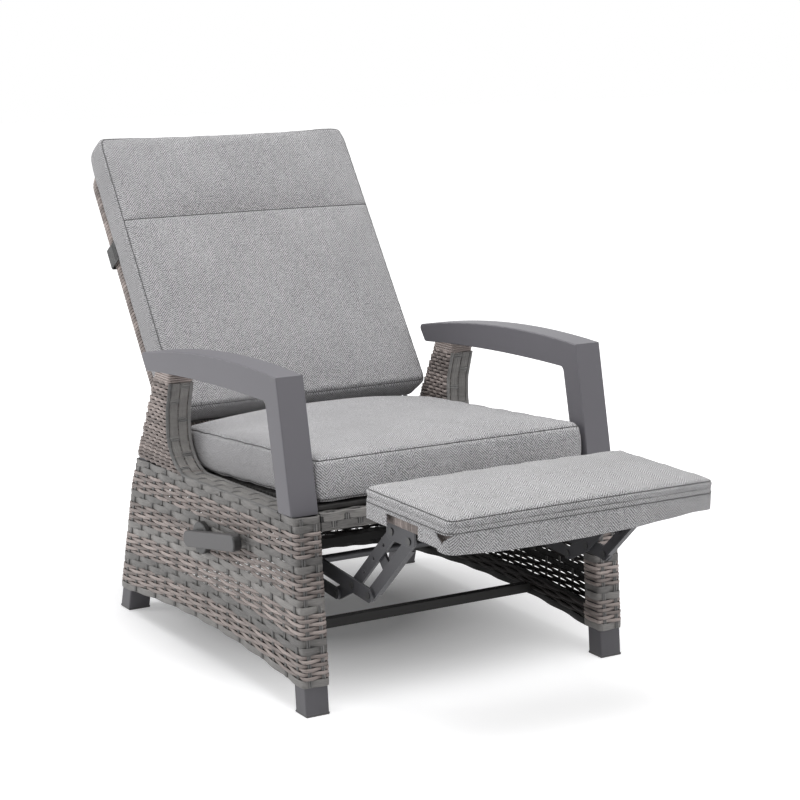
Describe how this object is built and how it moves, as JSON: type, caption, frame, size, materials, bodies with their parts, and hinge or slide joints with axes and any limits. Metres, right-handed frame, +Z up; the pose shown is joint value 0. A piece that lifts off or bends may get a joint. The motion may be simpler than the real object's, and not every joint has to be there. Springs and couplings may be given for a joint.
{
  "type": "reclining garden armchair",
  "caption": "Woven garden armchair with cushions, a reclining back and a linkage footrest that swings out as the back goes down.",
  "frame": {"origin": "on the floor, midway between the four feet", "axes": "-Y is the front, where the sitter faces; +X is the sitter's left, with the release lever on -X; +Z is up"},
  "size_m": [0.7765, 1.5018, 1.0052],
  "materials": {
    "powder_coat": "matt powder coat",
    "frame_tube": "matt powder coat",
    "wicker": "woven resin strand",
    "fabric": "herringbone twill",
    "dark_steel": "satin paint",
    "pin_steel": "zinc plated",
    "rod_chrome": "polished",
    "dark_plastic": "fine grain"
  },
  "bodies": {
    "base": {"front_leg_left": "powder_coat", "front_leg_right": "powder_coat", "rear_leg_left": "powder_coat", "rear_leg_right": "powder_coat", "foot_glides": "dark_plastic", "top_rails": "frame_tube", "arch_rails": "frame_tube", "armrest_left": "powder_coat", "armrest_right": "powder_coat", "wicker_side_left": "wicker", "wicker_side_right": "wicker", "rear_apron": "wicker", "apron_rails": "frame_tube", "stretcher_bar": "frame_tube", "seat_deck": "wicker", "seat_front_beam": "frame_tube", "beam_wrap": "wicker", "seat_rear_rail": "frame_tube", "seat_mid_rail": "frame_tube", "seat_side_rails": "frame_tube", "seat_cushion": "fabric", "hinge_brackets": "dark_steel", "hinge_bolts": "pin_steel", "link_plates": "dark_steel", "plate_pivots": "pin_steel", "spring_bracket": "dark_steel", "spring_pin": "pin_steel", "lever_rosette": "dark_plastic", "lever_strap": "dark_steel"},
    "back": {"back_frame": "frame_tube", "back_wicker": "wicker", "back_cushion": "fabric", "back_strap": "fabric", "hinge_plates": "dark_steel", "back_crank": "dark_steel", "crank_pin": "pin_steel"},
    "lower_links": {"lower_links": "dark_steel", "torque_tube": "dark_steel", "lower_link_pins": "pin_steel"},
    "rear_link_left": {"rear_link_left": "dark_steel", "rear_link_pin_left": "pin_steel"},
    "rear_link_right": {"rear_link_right": "dark_steel", "rear_link_pin_right": "pin_steel"},
    "upper_bar_left": {"upper_bar_left": "dark_steel", "stop_plate_left": "dark_steel"},
    "upper_bar_right": {"upper_bar_right": "dark_steel", "stop_plate_right": "dark_steel"},
    "front_bar_left": {"front_bar_left": "dark_steel"},
    "front_bar_right": {"front_bar_right": "dark_steel"},
    "footrest": {"footrest_frame": "frame_tube", "footrest_wicker": "wicker", "footrest_cushion": "fabric", "footrest_brackets": "dark_steel", "footrest_pins": "pin_steel"},
    "lever": {"release_lever": "dark_plastic", "lever_cap": "dark_plastic", "lever_shaft": "pin_steel"},
    "gas_cylinder": {"gas_cylinder": "dark_steel"},
    "gas_rod": {"gas_rod": "rod_chrome"}
  },
  "joints": [
    {"name": "back_recline", "type": "hinge", "parent": "base", "child": "back", "pos_m": [0, 0.25003, 0.34501], "axis": [1, 0, 0], "range_deg": [0, 20]},
    {"name": "lower_links_swing", "type": "hinge", "parent": "base", "child": "lower_links", "pos_m": [0, -0.28847, 0.2615], "axis": [1, 0, 0], "range_deg": [0, 90]},
    {"name": "rear_link_left_swing", "type": "hinge", "parent": "base", "child": "rear_link_left", "pos_m": [-0.273, -0.22747, 0.2299], "axis": [1, 0, 0], "range_deg": [0, 90]},
    {"name": "rear_link_right_swing", "type": "hinge", "parent": "base", "child": "rear_link_right", "pos_m": [0.273, -0.22747, 0.2299], "axis": [1, 0, 0], "range_deg": [0, 90]},
    {"name": "upper_bar_left_swing", "type": "hinge", "parent": "lower_links", "child": "upper_bar_left", "pos_m": [-0.2675, -0.43599, 0.24963], "axis": [1, 0, 0], "range_deg": [-90, 0]},
    {"name": "upper_bar_right_swing", "type": "hinge", "parent": "lower_links", "child": "upper_bar_right", "pos_m": [0.2675, -0.43599, 0.24963], "axis": [1, 0, 0], "range_deg": [-90, 0]},
    {"name": "front_bar_left_swing", "type": "hinge", "parent": "lower_links", "child": "front_bar_left", "pos_m": [-0.2675, -0.4958, 0.24482], "axis": [1, 0, 0], "range_deg": [-90, 0]},
    {"name": "front_bar_right_swing", "type": "hinge", "parent": "lower_links", "child": "front_bar_right", "pos_m": [0.2675, -0.4958, 0.24482], "axis": [1, 0, 0], "range_deg": [-90, 0]},
    {"name": "footrest_turn", "type": "hinge", "parent": "upper_bar_left", "child": "footrest", "pos_m": [-0.2675, -0.57818, 0.38598], "axis": [1, 0, 0], "range_deg": [0, 90]},
    {"name": "lever_lift", "type": "hinge", "parent": "base", "child": "lever", "pos_m": [-0.3725, -0.01205, 0.258], "axis": [-1, 0, 0], "range_deg": [0, 25], "stiffness_Nm_per_rad": 0.5, "springref_deg": -20.05},
    {"name": "spring_turn", "type": "hinge", "parent": "base", "child": "gas_cylinder", "pos_m": [0, -0.13496, 0.29995], "axis": [1, 0, 0], "range_deg": [0, 1]},
    {"name": "spring_stroke", "type": "slide", "parent": "gas_cylinder", "child": "gas_rod", "axis": [0, 0.9959, -0.0905], "range_m": [0, 0.03]}
  ],
  "couplings": [
    {"joint": "lower_links_swing", "follows": "back_recline", "ratio": 4.5},
    {"joint": "rear_link_left_swing", "follows": "back_recline", "ratio": 4.5},
    {"joint": "rear_link_right_swing", "follows": "back_recline", "ratio": 4.5},
    {"joint": "upper_bar_left_swing", "follows": "back_recline", "ratio": -4.5},
    {"joint": "upper_bar_right_swing", "follows": "back_recline", "ratio": -4.5},
    {"joint": "front_bar_left_swing", "follows": "back_recline", "ratio": -4.5},
    {"joint": "front_bar_right_swing", "follows": "back_recline", "ratio": -4.5},
    {"joint": "footrest_turn", "follows": "back_recline", "ratio": 4.5},
    {"joint": "spring_turn", "follows": "back_recline", "ratio": 0.018},
    {"joint": "spring_stroke", "follows": "back_recline", "m_per_rad": 0.07929}
  ]
}
